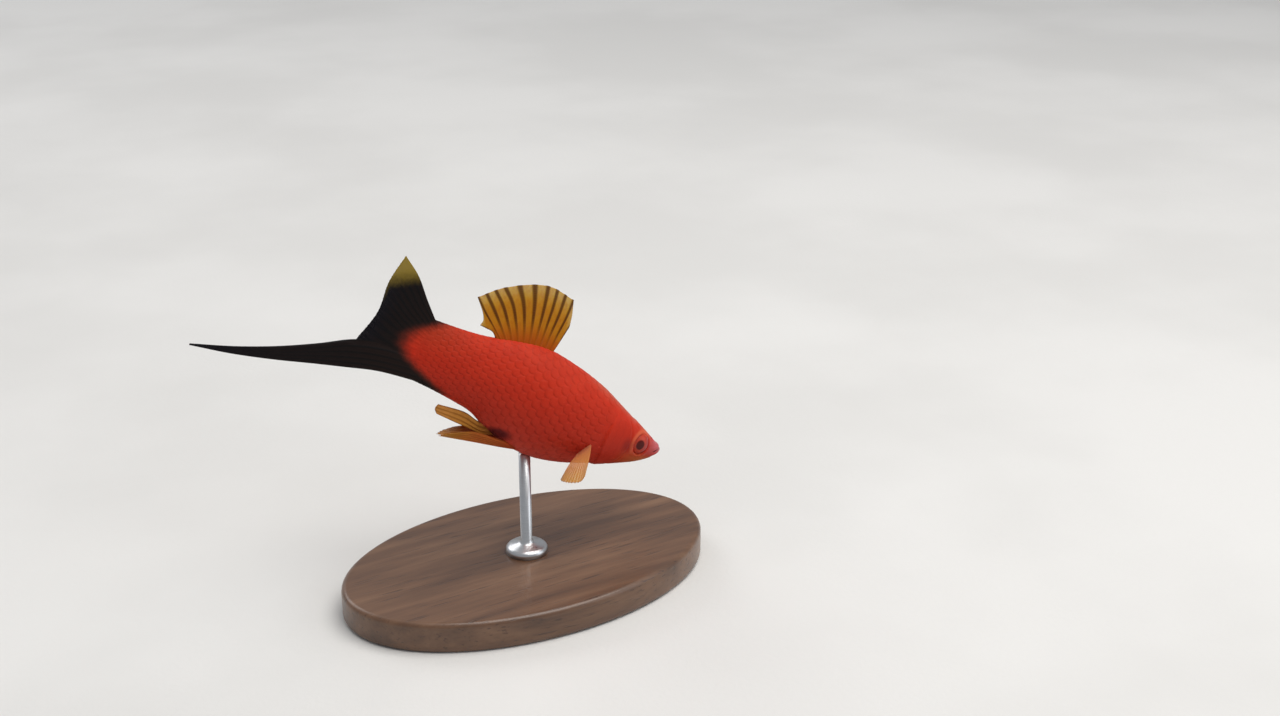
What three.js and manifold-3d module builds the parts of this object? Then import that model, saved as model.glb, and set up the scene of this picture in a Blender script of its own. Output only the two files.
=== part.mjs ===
// A male red swordtail with black fins, hanging head down on a small display stand.
// Millimetres. +X is the way the fish heads, +Y is its left side and +Z is up.
// The origin is the middle of the stand's underside.
import * as THREE from "three";
import { mergeVertices } from "three/addons/utils/BufferGeometryUtils.js";
import Module from "manifold-3d";

const wasm = await Module();
wasm.setup();

// Driving sizes. The fish is drawn level, with its snout at the origin and its tail towards -X.
const bodyLength = 62; // snout to the root of the tail fin
const bodyDepth = 20;
const bodyWidth = 10.4;
const headLength = 0.265 * bodyLength;
const headDown = THREE.MathUtils.degToRad(31);
const gap = 0.3; // between neighbouring pieces

// Outlines of the body: [share of its length behind the snout, share of its depth above the axis].
const backLine = [
  [0, 0.02], [0.08, 0.118], [0.19, 0.246], [0.3, 0.368], [0.42, 0.452],
  [0.55, 0.498], [0.66, 0.458], [0.76, 0.392], [0.87, 0.363], [1.01, 0.356],
];
const bellyLine = [
  [0, -0.06], [0.03, -0.135], [0.075, -0.214], [0.15, -0.302], [0.26, -0.408], [0.36, -0.487],
  [0.46, -0.517], [0.56, -0.474], [0.65, -0.382], [0.7, -0.318], [0.76, -0.284], [0.88, -0.241], [1.01, -0.22],
];
// Half of the body's width, as shares of its full width.
const sideLine = [
  [0, 0.19], [0.035, 0.245], [0.1, 0.338], [0.17, 0.423], [0.26, 0.483], [0.37, 0.5],
  [0.47, 0.481], [0.6, 0.381], [0.74, 0.275], [0.88, 0.184], [1.01, 0.08],
];
// Where the body is widest, as shares of its depth above the axis.
const widestLine = [[0, -0.01], [0.16, -0.055], [0.32, -0.045], [0.5, -0.01], [0.73, 0.04], [1.01, 0.068]];
// How round the upper and the lower half of a section are: under 1 is boxy, over 1 is keeled.
const upperShape = [[0, 0.85], [0.16, 0.8], [0.27, 0.95], [0.4, 1.1], [0.65, 1.08], [1.01, 1]];
const lowerShape = [[0, 0.95], [0.2, 0.94], [0.5, 0.94], [0.7, 1.04], [1.01, 1]];

const noseRound = 2.2; // length over which the snout closes
const stalkRound = 4; // length over which the tail stalk closes
const stalkEnd = bodyLength + 0.2;
const stalkFrom = 0.745 * bodyLength; // where the tail stalk is parted from the trunk
const facetsAround = 40;
const stretches = [
  { to: noseRound, rings: 6 },
  { to: 9.5, rings: 14 },
  { to: headLength + 1.2, rings: 7 },
  { to: 0.75 * bodyLength, rings: 11 },
  { to: stalkEnd - stalkRound, rings: 4 },
  { to: stalkEnd, rings: 5 },
];

// Head features. Points are [distance behind the snout, height] in the side view.
const eye = { at: [6.85, -0.25], radius: 2.15, bulge: 1.4, sunk: 0.85, forward: 12, down: 3 };
const orbit = { mound: 0.35, moundRadius: 2.6, rim: 0.16, rimGap: 0.5, rimWidth: 0.35 };
const mouth = { lip: [-1, 1.75], corner: [2.3, -0.75], throat: [3.9, -4.6] };
const lips = { swell: 0.28, fromSlit: 0.55, width: 0.4, length: 3 };
const nostril = { at: [3.7, 1.45], radius: 0.34, across: 0.74 };
const gillArc = { at: [7.2, -1.1], radius: headLength - 7.2 };
const gillCover = { upper: [11.5, 3.6], front: [9.9, -1.5], lower: [11.7, -6.8], thick: 0.8, proud: 0.14 };
const throatWidth = 2.4; // between the two gill covers, under the head

// The stand: an oval base, and a rod that meets the belly.
const base = { halfLength: 37, halfWidth: 23, height: 6, bevel: 1 };
const rod = { radius: 1.1, length: 20, footRadius: 4, footHeight: 1.6, at: 28.2 };

const paint = (color, roughness, metalness = 0) =>
  new THREE.MeshStandardMaterial({ color, roughness, metalness });
const redSkin = paint(0xc8321e, 0.45);
const paleRedSkin = paint(0xd1452f, 0.45);
const blackFin = paint(0x1c1614, 0.55);
const amberFin = paint(0xc98a1e, 0.5);
const paleFin = paint(0xe0a264, 0.5);
const darkEye = paint(0x2a1210, 0.12);
const standWood = paint(0x5b4636, 0.5);
const standSteel = paint(0xb4b6b8, 0.3, 1);

// Reads a line of [share, value] points at a share, by a smooth curve through them.
function readLine(line, share) {
  const last = line.length - 1;
  const x = THREE.MathUtils.clamp(share, line[0][0], line[last][0]);
  const i = Math.max(line.findIndex((point) => x <= point[0]) - 1, 0);
  const slope = (k) => {
    const before = line[Math.max(k - 1, 0)];
    const after = line[Math.min(k + 1, last)];
    return (after[1] - before[1]) / (after[0] - before[0]);
  };
  const [x0, y0] = line[i];
  const [x1, y1] = line[i + 1];
  const t = (x - x0) / (x1 - x0);
  const bow = (x1 - x0) * t * (1 - t) * (slope(i) * (1 - t) - slope(i + 1) * t);
  return y0 + (y1 - y0) * t * t * (3 - 2 * t) + bow;
}

// Heights of the back and belly, and half the width, at a distance behind the snout.
const back = (s) => bodyDepth * readLine(backLine, s / bodyLength);
const belly = (s) => bodyDepth * readLine(bellyLine, s / bodyLength);
const flank = (s) => bodyWidth * readLine(sideLine, s / bodyLength);

// 1 along the body, falling to 0 in a round curve at the snout and at the tail stalk's end.
function endRound(s, grow) {
  const nose = Math.min((s + grow) / (noseRound + grow), 1);
  const stalk = Math.min((stalkEnd + grow - s) / (stalkRound + grow), 1);
  return Math.sqrt(Math.max(1 - (1 - nose) ** 2, 0) * Math.max(1 - (1 - stalk) ** 2, 0));
}

// Height of the closed mouth's slit at a distance behind the snout.
function slitHeight(s) {
  const [s0, h0] = mouth.lip;
  const [s1, h1] = mouth.corner;
  return h0 + ((h1 - h0) * (s - s0)) / (s1 - s0);
}

// How far the skin stands out at a place in the side view: the eye's mound, its rim, and the lips.
function relief(s, h) {
  const bump = (distance, width) => Math.exp(-((distance / width) ** 2));
  const fromEye = Math.hypot(s - eye.at[0], h - eye.at[1]);
  const mound = orbit.mound * bump(fromEye, orbit.moundRadius);
  const rim = orbit.rim * bump(fromEye - eye.radius - orbit.rimGap, orbit.rimWidth);
  const fromLip = Math.abs(slitHeight(s) - h) - lips.fromSlit;
  return mound + rim + lips.swell * bump(fromLip, lips.width) * Math.max(1 - s / lips.length, 0);
}

// A point of the skin, moved out by grow. Turn runs from the back over the left side and round.
function skinPoint(s, turn, grow) {
  const share = s / bodyLength;
  const middle = bodyDepth * readLine(widestLine, share);
  const round = endRound(s, grow);
  const up = Math.cos(turn);
  const out = Math.sin(turn);
  const shape = readLine(up > 0 ? upperShape : lowerShape, share);
  const height = Math.abs((up > 0 ? back(s) : belly(s)) - middle) + grow;
  const y = (flank(s) + grow) * round * Math.sign(out) * Math.abs(out) ** shape;
  const z = middle + height * round * Math.sign(up) * Math.abs(up) ** shape;
  const lift = relief(s, z) * round * Math.min(Math.abs(out) * 1.5, 1);
  return new THREE.Vector3(-s, y + lift * out, z + lift * up * 0.4);
}

// Where the body's rings stand, closer together in the head and where the ends close.
function ringStations(grow) {
  const stations = [-grow];
  const last = stretches.length - 1;
  stretches.forEach(({ to, rings }, k) => {
    const from = stations.at(-1);
    const reach = (k === last ? to + grow : to) - from;
    for (let i = 1; i <= rings; i += 1) {
      const turn = ((i / rings) * Math.PI) / 2;
      const eased = { 0: 1 - Math.cos(turn), [last]: Math.sin(turn) }[k] ?? i / rings;
      stations.push(from + reach * eased);
    }
  });
  return stations;
}

// The whole body as a sphere drawn out along its rings.
function bodyGeometry(grow = 0) {
  const stations = ringStations(grow);
  const geometry = new THREE.SphereGeometry(1, facetsAround, stations.length - 1);
  const place = geometry.getAttribute("position");
  for (let i = 0; i < place.count; i += 1) {
    const ring = Math.floor(i / (facetsAround + 1));
    const turn = ((i % (facetsAround + 1)) / facetsAround) * 2 * Math.PI;
    place.setXYZ(i, ...skinPoint(stations[ring], turn, grow));
  }
  return geometry;
}

// A closed geometry as a solid, its faces turned outwards.
function solidFrom(geometry) {
  const bare = new THREE.BufferGeometry().setAttribute("position", geometry.getAttribute("position"));
  bare.setIndex(geometry.index);
  const merged = mergeVertices(bare, 1e-4);
  const vertProperties = merged.attributes.position.array;
  const make = (triVerts) => new wasm.Manifold(new wasm.Mesh({ numProp: 3, vertProperties, triVerts }));
  const faces = new Uint32Array(merged.index.array);
  const solid = make(faces);
  return solid.volume() > 0 ? solid : make(faces.reverse());
}

// The largest closed surface of a solid, as a named mesh.
function meshFrom(name, solid, look) {
  const largest = solid.decompose().sort((a, b) => b.volume() - a.volume())[0];
  const { vertProperties, triVerts } = largest.getMesh();
  const geometry = new THREE.BufferGeometry();
  geometry.setAttribute("position", new THREE.BufferAttribute(vertProperties, 3));
  geometry.setIndex(new THREE.BufferAttribute(triVerts, 1));
  geometry.computeVertexNormals();
  const mesh = new THREE.Mesh(geometry, look);
  mesh.name = name;
  return mesh;
}

const pastFlanks = bodyWidth / 2 + 3;

// A block with a side-view outline of [distance behind the snout, height] points.
function sideBlock(outline, from = -pastFlanks, to = pastFlanks) {
  const shape = new THREE.Shape(outline.map(([s, h]) => new THREE.Vector2(-s, h)));
  const block = new THREE.ExtrudeGeometry(shape, { depth: to - from, bevelEnabled: false });
  return solidFrom(block.rotateX(Math.PI / 2).translate(0, to, 0));
}

// Everything behind a distance from the snout.
function behind(s) {
  const block = new THREE.BoxGeometry(bodyLength, 2 * pastFlanks, 2 * bodyDepth);
  return solidFrom(block.translate(-s - bodyLength / 2, 0, 0));
}

// Everything ahead of the gill opening, as a drum lying across the body.
function gillDrum(grow) {
  const radius = gillArc.radius + grow;
  const drum = new THREE.CylinderGeometry(radius, radius, 2 * pastFlanks, 60);
  return solidFrom(drum.translate(-gillArc.at[0], 0, gillArc.at[1]));
}

// The wedge of the head that the lower jaw fills.
function jawBlock(grow) {
  const { lip, corner, throat } = mouth;
  const under = throat[1] - 2;
  return sideBlock([
    [lip[0], lip[1] + grow],
    [corner[0] + grow, corner[1] + grow],
    [throat[0] + grow, under],
    [lip[0], under],
  ]);
}

// The room of a gill cover on side 1 or -1. It runs on behind the gill opening, which cuts it off.
function gillCoverBlock(side, grow) {
  const { upper, front, lower } = gillCover;
  const past = headLength + 2;
  const middle = [(upper[0] + past) / 2, (upper[1] + lower[1]) / 2];
  const away = ([s, h]) => {
    const reach = 1 + grow / Math.hypot(s - middle[0], h - middle[1]);
    return new THREE.Vector3(middle[0] + (s - middle[0]) * reach, middle[1] + (h - middle[1]) * reach, 0);
  };
  const upperEdge = [[past, upper[1] + 0.2], [upper[0] + 2.9, upper[1] + 0.6], upper];
  const frontEdge = [[front[0] + 0.4, front[1] + 2.8], front, [front[0] + 0.4, front[1] - 3]];
  const lowerEdge = [lower, [lower[0] + 2.5, lower[1] - 2.2], [past, lower[1] - 3.7]];
  const edge = new THREE.CatmullRomCurve3([...upperEdge, ...frontEdge, ...lowerEdge].map(away));
  const outline = edge.getPoints(24).map(({ x, y }) => [x, y]);
  const inner = throatWidth / 2 - grow;
  return side > 0 ? sideBlock(outline, inner, pastFlanks) : sideBlock(outline, -pastFlanks, -inner);
}

// An eye as a flattened ball that looks out, a little forward and a little down.
function eyeSolid(side, grow) {
  const [s, h] = eye.at;
  const ball = new THREE.SphereGeometry(1, 20, 12).rotateX(Math.PI / 2);
  ball.scale(eye.radius + grow, eye.bulge + grow, eye.radius + grow);
  ball.rotateZ(side * THREE.MathUtils.degToRad(-eye.forward));
  ball.rotateX(side * THREE.MathUtils.degToRad(-eye.down));
  return solidFrom(ball.translate(-s, side * (flank(s) - eye.sunk), h));
}

function nostrilSolid(side) {
  const [s, h] = nostril.at;
  const ball = new THREE.SphereGeometry(nostril.radius, 8, 6);
  return solidFrom(ball.translate(-s, side * flank(s) * nostril.across, h));
}

// A fin. Its cross lines run from the root to the edge, each a list of points [distance behind the
// snout, height, distance to the side]. Each ray is a ridge that crosses all of them. Thick is the
// membrane's thickness at the root, half way and at the edge, and scallop how far it falls short
// of the rays' tips.
function finSolid({ lines, rays, rows, thick, ridge, side = 1, scallop = 0 }) {
  const point = ([s, h, y = 0]) => new THREE.Vector3(-s, y * side, h);
  const curves = lines.map((line) => new THREE.CatmullRomCurve3(line.map(point)));
  const columns = 2 * (rays - 1); // every other column is a ray
  const isRay = (c) => 1 - (c % 2);
  const grid = Array.from({ length: columns + 1 }, (_, c) => {
    const ray = new THREE.CatmullRomCurve3(curves.map((curve) => curve.getPoint(c / columns)));
    const reach = 1 - scallop * (1 - isRay(c));
    return Array.from({ length: rows + 1 }, (_, r) => ray.getPoint((r / rows) * reach));
  });
  const near = (c, r) => grid[THREE.MathUtils.clamp(c, 0, columns)][THREE.MathUtils.clamp(r, 0, rows)];
  const halfThick = (c, r) => {
    const out = (2 * r) / rows;
    const inner = THREE.MathUtils.lerp(thick[0], thick[1], Math.min(out, 1));
    const membrane = THREE.MathUtils.lerp(inner, thick[2], Math.max(out - 1, 0));
    return membrane / 2 + ridge * isRay(c) * (1 - 0.35 * out);
  };
  const count = (columns + 1) * (rows + 1);
  const points = new Float32Array(count * 6);
  for (let c = 0; c <= columns; c += 1) {
    for (let r = 0; r <= rows; r += 1) {
      const across = near(c + 1, r).clone().sub(near(c - 1, r));
      const outward = near(c, r + 1).clone().sub(near(c, r - 1));
      const normal = across.cross(outward).setLength(halfThick(c, r));
      const k = c * (rows + 1) + r;
      grid[c][r].clone().add(normal).toArray(points, k * 3);
      grid[c][r].clone().sub(normal).toArray(points, (k + count) * 3);
    }
  }
  const faces = [];
  const wall = (a, b) => faces.push(a, b, b + count, a, b + count, a + count);
  for (let c = 0; c < columns; c += 1) {
    const first = c * (rows + 1);
    for (let k = first; k < first + rows; k += 1) {
      const next = k + rows + 1;
      faces.push(k, next, next + 1, k, next + 1, k + 1);
      faces.push(count + k, count + next + 1, count + next, count + k, count + k + 1, count + next + 1);
    }
    wall(first + rows, first + 2 * rows + 1);
    wall(first + rows + 1, first);
  }
  for (let r = 0; r < rows; r += 1) {
    wall(r, r + 1);
    wall(columns * (rows + 1) + r + 1, columns * (rows + 1) + r);
  }
  const geometry = new THREE.BufferGeometry();
  geometry.setAttribute("position", new THREE.BufferAttribute(points, 3));
  geometry.setIndex(faces);
  return solidFrom(geometry);
}

// Roots are sunk in the body they grow from.
const dorsalRoot = [33.7, 37, 40.1, 43.2].map((s) => [s, back(s) - 1.4]);
const dorsalFin = {
  rays: 10,
  rows: 7,
  thick: [1.0, 0.55, 0.34],
  ridge: 0.16,
  scallop: 0.025,
  lines: [
    dorsalRoot,
    [[33.45, 12.4, 0.05], [37.75, 12.8, 0.1], [42.35, 11.4, 0.1], [46.9, 9.75, 0.05]],
    [[33.15, 16.2, 0.1], [38.6, 16.8, 0.2], [45.1, 14.9, 0.2], [50.1, 11.8, 0.1]],
    [[33.2, 20.0, 0.3], [39.5, 20.5, 0.45], [47.9, 17.1, 0.4], [52.4, 13.6, 0.2]],
  ],
};
// The dorsal fin's first ray is short, with a web up to the long ray behind it.
const dorsalFront = {
  rays: 2,
  rows: 6,
  thick: dorsalFin.thick,
  ridge: dorsalFin.ridge,
  lines: [
    [32.8, 33.7].map((s) => [s, back(s) - 1.4]),
    [[32.15, 11.8, 0.05], [33.45, 12.6, 0.05]],
    [[31.85, 13.4, 0.05], [33.2, 15.6, 0.1]],
    [[31.55, 15.0, 0.1], [32.1, 17.2, 0.2], [33.2, 19.9, 0.3]],
  ],
};
// Its last ray is short and lies low, with a web up to the long ray ahead of it.
const dorsalHeel = {
  rays: 2,
  rows: 6,
  thick: dorsalFin.thick,
  ridge: dorsalFin.ridge,
  lines: [
    [43.2, 44.4].map((s) => [s, back(s) - 1.4]),
    [[46.9, 9.75, 0.05], [46.3, 8.75]],
    [[49.9, 11.7, 0.1], [48.0, 9.0]],
    [[52.0, 13.3, 0.2], [49.9, 11.2, 0.1], [49.3, 10.1], [49.5, 9.1]],
  ],
};
const caudalRoot = [[-4.8, 5.9], [-1.9, 4.4], [-1.1, 2], [-1.4, -1.1]].map(([s, h]) => [bodyLength + s, h]);
const caudalFin = {
  rays: 13,
  rows: 7,
  thick: [1.3, 0.6, 0.36],
  ridge: 0.14,
  scallop: 0.012,
  lines: [
    caudalRoot,
    [[61.5, 9.6], [63.2, 6.3], [63.8, 2.8], [63.8, -1.15]],
    [[65.2, 13.0, 0.1], [66.6, 8.2, 0.1], [66.7, 3.7, 0.05], [67.3, -1.2]],
    [[69.1, 15.4, 0.35], [69.95, 10.1, 0.3], [69.5, 4.6, 0.15], [71.4, -1.1]],
  ],
};
const swordRoot = [[-1.5, -1.45], [-1.8, -2.8], [-3.6, -4.1]].map(([s, h]) => [bodyLength + s, h]);
const sword = {
  rays: 5,
  rows: 22,
  thick: [1.3, 0.8, 0.4],
  ridge: 0.13,
  lines: [
    swordRoot,
    [[66, -1.55], [65.6, -3.4], [65, -5.15]],
    [[71.6, -1.5], [71.2, -4.2], [70.6, -6.4]],
    [[77.4, -4.2], [77.1, -6], [76.8, -7.8]],
    [[84.2, -7.1], [84.0, -8.3], [83.8, -9.45]],
    [[91.4, -9.6], [91.3, -10.2], [91.2, -10.9]],
    [[98.6, -11.6], [98.6, -11.75], [98.6, -11.9]],
  ],
};
const gonopodiumRoot = [34.9, 36.6, 38.2].map((s) => [s, belly(s) + 1.25]);
const gonopodium = {
  rays: 4,
  rows: 10,
  thick: [1.1, 0.95, 0.6],
  ridge: 0.12,
  lines: [
    gonopodiumRoot,
    [[38.8, -9.3], [39.6, -8.6], [40.6, -7.8]],
    [[44.5, -9.05], [44.4, -8.0], [44.2, -6.9]],
    [[49.7, -8.7], [50.4, -7.9], [50.2, -6.95]],
  ],
};
const pelvicRoot = [[29.6, 0.8], [30.8, 1.1], [32, 1.4]].map(([s, y]) => [s, belly(s) + 1, y]);
const pelvicFin = {
  rays: 6,
  rows: 8,
  thick: [0.9, 0.55, 0.34],
  ridge: 0.13,
  lines: [
    pelvicRoot,
    [[34.4, -10.3, 0.7], [35.2, -9.7, 1.2], [36.0, -9.0, 1.75]],
    [[41.0, -11.3, 0.55], [41.5, -10.3, 1.1], [41.8, -9.2, 1.7]],
    [[47.7, -12.3, 0.5], [46.7, -11.5, 0.95], [44.4, -10.2, 1.5]],
  ],
};
const pectoralRoot = [[18.2, -2.7, 1.1], [18.7, -4.2, 1.2], [19.2, -5.6, 1.6]].map(([s, h, deep]) => [
  s, h, flank(s) - deep,
]);
const pectoralFin = {
  rays: 11,
  rows: 7,
  thick: [0.9, 0.55, 0.32],
  ridge: 0.13,
  scallop: 0.03,
  lines: [
    pectoralRoot,
    [[20.1, -4.7, 7.6], [21.5, -6.3, 7.3], [22.7, -7.9, 6.6]],
    [[22.1, -8.3, 11.7], [22.8, -9.5, 12.0], [24.2, -10.45, 11.2], [24.9, -10.9, 9.8], [24.4, -10.9, 8.4]],
  ],
};

// Turns the level fish head down, with the rod's top under its belly.
const fish = new THREE.Group();
fish.rotation.y = headDown;
const held = new THREE.Vector3(-rod.at, 0, belly(rod.at)).applyEuler(fish.rotation);
fish.position.set(-held.x, 0, base.height + gap + rod.length - held.z);
fish.updateMatrix();

const sideNames = { left: 1, right: -1 };

function addBody() {
  const body = solidFrom(bodyGeometry());
  const coverOuter = solidFrom(bodyGeometry(gillCover.proud)).intersect(gillDrum(0));
  const coverInner = solidFrom(bodyGeometry(-gillCover.thick));
  const pocketFloor = solidFrom(bodyGeometry(-gillCover.thick - gap));
  const front = body.intersect(gillDrum(0));
  const rear = body.subtract(gillDrum(gap));
  let head = front.subtract(jawBlock(gap));
  for (const [name, side] of Object.entries(sideNames)) {
    head = head.subtract(gillCoverBlock(side, gap).subtract(pocketFloor));
    head = head.subtract(eyeSolid(side, gap)).subtract(nostrilSolid(side));
    const cover = coverOuter.intersect(gillCoverBlock(side, 0)).subtract(coverInner);
    fish.add(meshFrom(`gill_cover_${name}`, cover, paleRedSkin));
    fish.add(meshFrom(`eye_${name}`, eyeSolid(side, 0), darkEye));
  }
  fish.add(meshFrom("head", head, redSkin));
  fish.add(meshFrom("lower_jaw", front.intersect(jawBlock(0)), paleRedSkin));
  fish.add(meshFrom("trunk", rear.subtract(behind(stalkFrom)), redSkin));
  fish.add(meshFrom("tail_stalk", rear.intersect(behind(stalkFrom + gap)), redSkin));
}

function addFins() {
  const bodyRoom = solidFrom(bodyGeometry(gap));
  const add = (name, fin, look) => fish.add(meshFrom(name, fin.subtract(bodyRoom), look));
  add("dorsal_fin", finSolid(dorsalFin).add(finSolid(dorsalFront)).add(finSolid(dorsalHeel)), amberFin);
  add("caudal_fin", finSolid(caudalFin), blackFin);
  add("sword", finSolid(sword), blackFin);
  add("gonopodium", finSolid(gonopodium), amberFin);
  for (const [name, side] of Object.entries(sideNames)) {
    add(`pelvic_fin_${name}`, finSolid({ ...pelvicFin, side }), amberFin);
    add(`pectoral_fin_${name}`, finSolid({ ...pectoralFin, side }), paleFin);
  }
}

function makeBase() {
  const { halfLength, halfWidth, height, bevel } = base;
  const oval = new THREE.Shape().absellipse(0, 0, halfLength - bevel, halfWidth - bevel, 0, 2 * Math.PI);
  const slab = new THREE.ExtrudeGeometry(oval, {
    depth: height - 2 * bevel,
    curveSegments: 24,
    bevelThickness: bevel,
    bevelSize: bevel,
    bevelSegments: 2,
  });
  return meshFrom("stand_base", solidFrom(slab.translate(0, 0, bevel)), standWood);
}

function makeRod() {
  const { radius, length, footRadius, footHeight } = rod;
  const past = length + 3; // into the belly, which then shapes the rod's top
  const footEdge = [[footRadius, 0], [footRadius, 0.6 * footHeight], [0.8 * footRadius, footHeight]];
  const profile = [[0, 0], ...footEdge, [radius, 1.3 * footHeight], [radius, past], [0, past]];
  const turned = new THREE.LatheGeometry(profile.map(([r, z]) => new THREE.Vector2(r, z)), 20);
  turned.rotateX(Math.PI / 2).translate(0, 0, base.height + gap);
  const bodyRoom = solidFrom(bodyGeometry(gap).applyMatrix4(fish.matrix));
  return meshFrom("stand_rod", solidFrom(turned).subtract(bodyRoom), standSteel);
}

addBody();
addFins();
const swordtail = new THREE.Group();
swordtail.add(fish, makeBase(), makeRod());

export default swordtail;
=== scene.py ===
# A male red swordtail with black fins, hanging head down on a small display stand.
import math
from functools import lru_cache

import bmesh
import bpy
from mathutils import Matrix, Vector


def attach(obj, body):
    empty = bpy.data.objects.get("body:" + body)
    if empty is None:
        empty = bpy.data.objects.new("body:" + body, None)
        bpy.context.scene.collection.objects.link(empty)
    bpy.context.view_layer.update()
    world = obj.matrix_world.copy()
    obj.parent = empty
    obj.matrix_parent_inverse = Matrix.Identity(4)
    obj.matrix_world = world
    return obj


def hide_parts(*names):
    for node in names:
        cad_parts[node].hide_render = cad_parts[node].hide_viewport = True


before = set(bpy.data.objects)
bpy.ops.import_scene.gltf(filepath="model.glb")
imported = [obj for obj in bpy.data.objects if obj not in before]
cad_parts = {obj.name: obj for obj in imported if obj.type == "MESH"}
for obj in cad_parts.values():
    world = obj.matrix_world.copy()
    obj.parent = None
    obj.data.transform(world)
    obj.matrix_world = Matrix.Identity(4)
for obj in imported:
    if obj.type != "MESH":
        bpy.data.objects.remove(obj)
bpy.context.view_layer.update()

mm = 0.001


def smooth(low, high, value):
    t = min(max((value - low) / (high - low), 0.0), 1.0)
    return t * t * (3 - 2 * t)


def bump(distance, width):
    return math.exp(-((distance / width) ** 2))


def lerp(a, b, t):
    return a + (b - a) * t


def readLine(line, share):  # a smooth curve through [share, value] points
    last = len(line) - 1
    x = min(max(share, line[0][0]), line[last][0])
    i = max(next(k for k, point in enumerate(line) if x <= point[0]) - 1, 0)

    def slope(k):
        before, after = line[max(k - 1, 0)], line[min(k + 1, last)]
        return (after[1] - before[1]) / (after[0] - before[0])

    (x0, y0), (x1, y1) = line[i], line[i + 1]
    t = (x - x0) / (x1 - x0)
    bow = (x1 - x0) * t * (1 - t) * (slope(i) * (1 - t) - slope(i + 1) * t)
    return y0 + (y1 - y0) * t * t * (3 - 2 * t) + bow


def alongPoints(points, share):  # a smooth curve through points in space, share 0 to 1
    last = len(points) - 1
    reach = min(max(share, 0.0), 1.0) * last
    i = min(int(reach), last - 1)
    t = reach - i
    b, c = points[i], points[i + 1]
    a = points[i - 1] if i > 0 else 2 * b - c
    d = points[i + 2] if i + 2 <= last else 2 * c - b
    before, here, after = ((q - p).length ** 0.5 or 1.0 for p, q in ((a, b), (b, c), (c, d)))
    leave = ((b - a) / before - (c - a) / (before + here) + (c - b) / here) * here
    arrive = ((c - b) / here - (d - b) / (here + after) + (d - c) / after) * here
    bend = (3 * (c - b) - 2 * leave - arrive) * t * t
    return b + leave * t + bend + (2 * (b - c) + leave + arrive) * t ** 3


# The fish is drawn level in millimetres, snout at the origin, tail towards -X, then placed.
# An outline is [share of the length behind the snout, share of the depth or the width]. The two shapes say
# how round a section is: under 1 is boxy, over 1 is keeled.
bodyForm = {
    "length": 62.0,
    "depth": 20.0,
    "width": 10.4,
    "headDown": math.radians(31),
    "back": [
        (0, 0.02), (0.08, 0.118), (0.19, 0.246), (0.3, 0.368), (0.42, 0.452),
        (0.55, 0.498), (0.66, 0.458), (0.76, 0.392), (0.87, 0.363), (1.01, 0.356),
    ],
    "belly": [
        (0, -0.06), (0.03, -0.135), (0.075, -0.214), (0.15, -0.302), (0.26, -0.408),
        (0.36, -0.487), (0.46, -0.517), (0.56, -0.474), (0.65, -0.382), (0.7, -0.318),
        (0.76, -0.284), (0.88, -0.241), (1.01, -0.22),
    ],
    "side": [
        (0, 0.19), (0.035, 0.245), (0.1, 0.338), (0.17, 0.423), (0.26, 0.483), (0.37, 0.5),
        (0.47, 0.481), (0.6, 0.381), (0.74, 0.275), (0.88, 0.184), (1.01, 0.08),
    ],
    "widest": [(0, -0.01), (0.16, -0.055), (0.32, -0.045), (0.5, -0.01), (0.73, 0.04), (1.01, 0.068)],
    "upperShape": [(0, 0.85), (0.16, 0.8), (0.27, 0.95), (0.4, 1.1), (0.65, 1.08), (1.01, 1)],
    "lowerShape": [(0, 0.95), (0.2, 0.94), (0.5, 0.94), (0.7, 1.04), (1.01, 1)],
    "noseRound": 2.2,
    "stalkRound": 4.0,
    "stalkEnd": 62.2,
    "stalkSide": 1.2,
    "stalkThin": (0.45, 53.5, 61.5),
}
standForm = {
    "halfLength": 37.0,
    "halfWidth": 23.0,
    "height": 6.0,
    "bevel": 1.0,
    "gap": 0.3,
    "rodRadius": 1.1,
    "rodLength": 20.0,
    "rodLift": 0.02,
    "rodSunk": 0.6,
    "footRadius": 4.0,
    "footHeight": 1.6,
    "rodAt": 28.2,
}


@lru_cache(maxsize=None)
def section(s):  # back, belly, half width, widest height and the two roundnesses at a station
    share = s / bodyForm["length"]
    depth = bodyForm["depth"]
    return (
        depth * readLine(bodyForm["back"], share),
        depth * readLine(bodyForm["belly"], share),
        bodyForm["width"] * readLine(bodyForm["side"], share),
        depth * readLine(bodyForm["widest"], share),
        readLine(bodyForm["upperShape"], share),
        readLine(bodyForm["lowerShape"], share),
    )


def rounding(share):  # the height of a quarter circle, at a share of its width
    return math.sqrt(max(1 - (1 - min(share, 1)) ** 2, 0))


def bodyPoint(s, turn, grow):  # turn is 0 on the back, a quarter turn on the left side
    back, belly, flank, middle, upperShape, lowerShape = section(s)
    nose = rounding((s + grow) / (bodyForm["noseRound"] + grow))
    behind = bodyForm["stalkEnd"] + grow - s
    high = nose * rounding(behind / (bodyForm["stalkRound"] + grow))
    wide = nose * rounding(behind / (bodyForm["stalkSide"] + grow))
    thin, start, end = bodyForm["stalkThin"]
    wide *= lerp(1, thin, smooth(start, end, s))  # the stalk runs out as thin as the fin that it carries
    up, out = math.cos(turn), math.sin(turn)
    shape = upperShape if up > 0 else lowerShape
    height = abs((back if up > 0 else belly) - middle) + grow
    return Vector((
        -s,
        math.copysign((flank + grow) * wide * abs(out) ** shape, out),
        middle + math.copysign(height * high * abs(up) ** shape, up),
    ))


turnDown = Matrix.Rotation(bodyForm["headDown"], 4, "Y")
held = turnDown @ Vector((-standForm["rodAt"], 0, section(standForm["rodAt"])[1]))
rodTop = standForm["height"] + standForm["gap"] + standForm["rodLength"]
snout = Vector((-held.x, 0, rodTop - held.z)) * mm
toRow = Matrix.Translation(snout) @ turnDown @ Matrix.Scale(mm, 4)


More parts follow.
